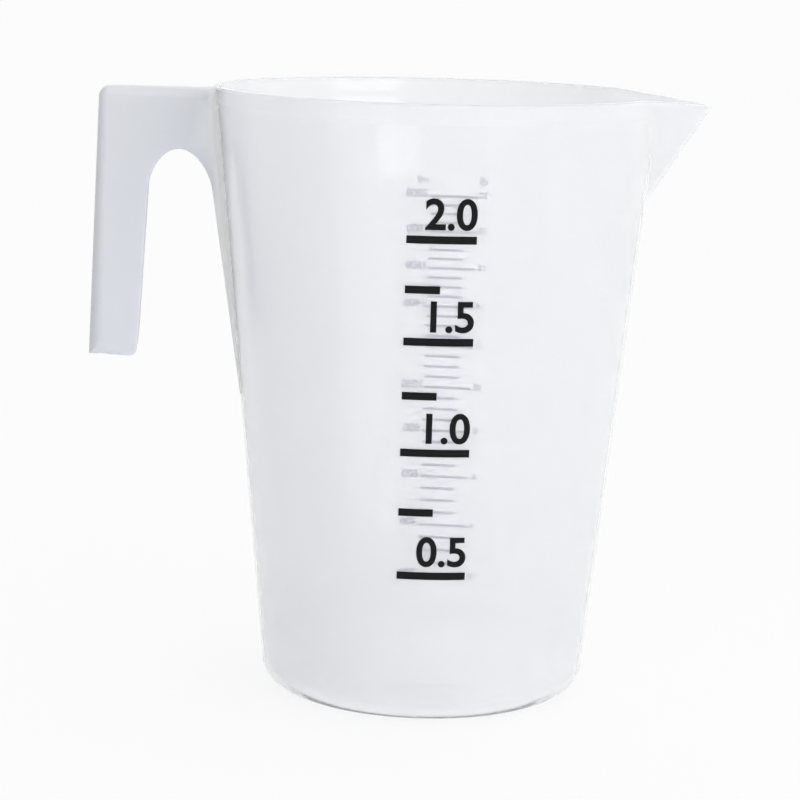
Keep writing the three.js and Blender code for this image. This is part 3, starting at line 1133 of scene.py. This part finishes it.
class JUG_OT_moulding(bpy.types.Operator):
    """Body, base, rim, spout, handle and ribs as one moulding"""

    bl_idname = "jug.moulding"
    bl_label = "Moulding"

    def execute(self, context):
        finish = sizes("finish")
        plastics = (
            polypropylene("thin_polypropylene", finish.clearness, finish.milkiness, finish.gloss),
            polypropylene(
                "thick_polypropylene", finish.dense_clearness, finish.dense_milkiness, finish.dense_gloss
            ),
            polypropylene("floor_polypropylene", finish.floor_clearness, finish.milkiness, finish.gloss),
        )
        moulding = add_object("moulding", vessel_mesh())
        lay_plastic(moulding, plastics, vessel_plastic)
        for solid in (handle_solid(), root_fillet(-1), root_fillet(1)):
            lay_plastic(solid, plastics, handle_plastic)
            combine(moulding, solid, "UNION")
        mark_thickness(moulding)
        smooth_shade(moulding, SHARP_EDGE)
        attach(moulding, BODY)
        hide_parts(*MOULDING_NODES)
        return {"FINISHED"}


class JUG_OT_fine_scale(bpy.types.Operator):
    """The fine scale: its lines, and the numbers beside them"""

    bl_idname = "jug.fine_scale"
    bl_label = "Fine scale"

    def execute(self, context):
        ink = sizes("print")
        dark = ink_material("fine_ink", sizes("finish").fine_ink)
        for name in SCALE_NODES:
            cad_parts[name].data.materials.clear()
            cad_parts[name].data.materials.append(dark)
        prints = []
        for volume in range(200, 2001, 200):
            foot = line_height(volume) - NUMBER_DROP
            large = number_shape(str(volume), ink.number_height, NUMBER_BOLDNESS)
            prints.append((large, ink.number_start, foot))
            small = number_shape(str(volume // 100), ink.small_height, NUMBER_BOLDNESS)
            prints.append((small, ink.small_start - shape_width(small) / 2, foot))
        above = line_height(2000) + ink.unit_lift
        for unit, across in (("ml", ink.number_start), ("dl", ink.small_start - ink.small_height / 2)):
            prints.append((number_shape(unit, ink.number_height, UNIT_BOLDNESS), across, above))
        numbers = print_piece("scale_numbers", prints, ink.scale_turn)
        numbers.data.materials.append(dark)
        return {"FINISHED"}


class JUG_OT_bold_scale(bpy.types.Operator):
    """The bold scale on the other side: bars and large numbers"""

    bl_idname = "jug.bold_scale"
    bl_label = "Bold scale"

    def execute(self, context):
        ink = sizes("print")
        prints = []
        for volume in range(500, 2001, 250):
            foot = line_height(volume) - ink.bar_height / 2
            across = ink.bar_length if volume % 500 == 0 else ink.short_bar
            prints.append((bar_shape(across, ink.bar_height), -ink.bar_length / 2, foot))
            if volume % 500 == 0:
                number = number_shape(f"{volume / 1000:.1f}", ink.bold_height, LARGE_BOLDNESS)
                start = ink.bar_length / 2 - shape_width(number)
                prints.append((number, start, foot + NUMBER_RISE_IN_BARS * ink.bar_height))
        bars = print_piece("bold_scale", prints, ink.front_turn)
        bars.data.materials.append(ink_material("bold_ink", sizes("finish").bold_ink))
        return {"FINISHED"}


class JUG_OT_stage(bpy.types.Operator):
    """White floor, soft light and the camera"""

    bl_idname = "jug.stage"
    bl_label = "Stage"

    def execute(self, context):
        add_floor()
        add_world()
        add_lamps()
        add_camera()
        context.scene.view_settings.view_transform = "Standard"
        return {"FINISHED"}


# Panel and start


class JUG_PT_jug(bpy.types.Panel):
    """Sizes, colours and build steps of the jug"""

    bl_idname = "JUG_PT_jug"
    bl_label = "Measuring jug"
    bl_space_type = "VIEW_3D"
    bl_region_type = "UI"
    bl_category = "Jug"

    def draw(self, context):
        for operator in OPERATORS:
            self.layout.operator(operator.bl_idname)
        for name, group in GROUPS.items():
            box = self.layout.box()
            box.label(text=group.__doc__)
            for prop in group.__annotations__:
                box.prop(sizes(name), prop)


GROUPS = {
    "body": JugBodySizes,
    "spout": JugSpoutSizes,
    "handle": JugHandleSizes,
    "print": JugPrintSizes,
    "finish": JugFinish,
    "stage": JugStage,
    "detail": JugDetail,
}
OPERATORS = (JUG_OT_moulding, JUG_OT_fine_scale, JUG_OT_bold_scale, JUG_OT_stage)


def register():
    for group in (*GROUPS.values(), *OPERATORS, JUG_PT_jug):
        bpy.utils.register_class(group)
    for name, group in GROUPS.items():
        setattr(bpy.types.Scene, "jug_" + name, PointerProperty(type=group))


def unregister():
    for name in GROUPS:
        delattr(bpy.types.Scene, "jug_" + name)
    for group in reversed((*GROUPS.values(), *OPERATORS, JUG_PT_jug)):
        bpy.utils.unregister_class(group)


def main():
    register()
    bpy.ops.jug.moulding()
    bpy.ops.jug.fine_scale()
    bpy.ops.jug.bold_scale()
    bpy.ops.jug.stage()


if __name__ == "__main__":
    main()
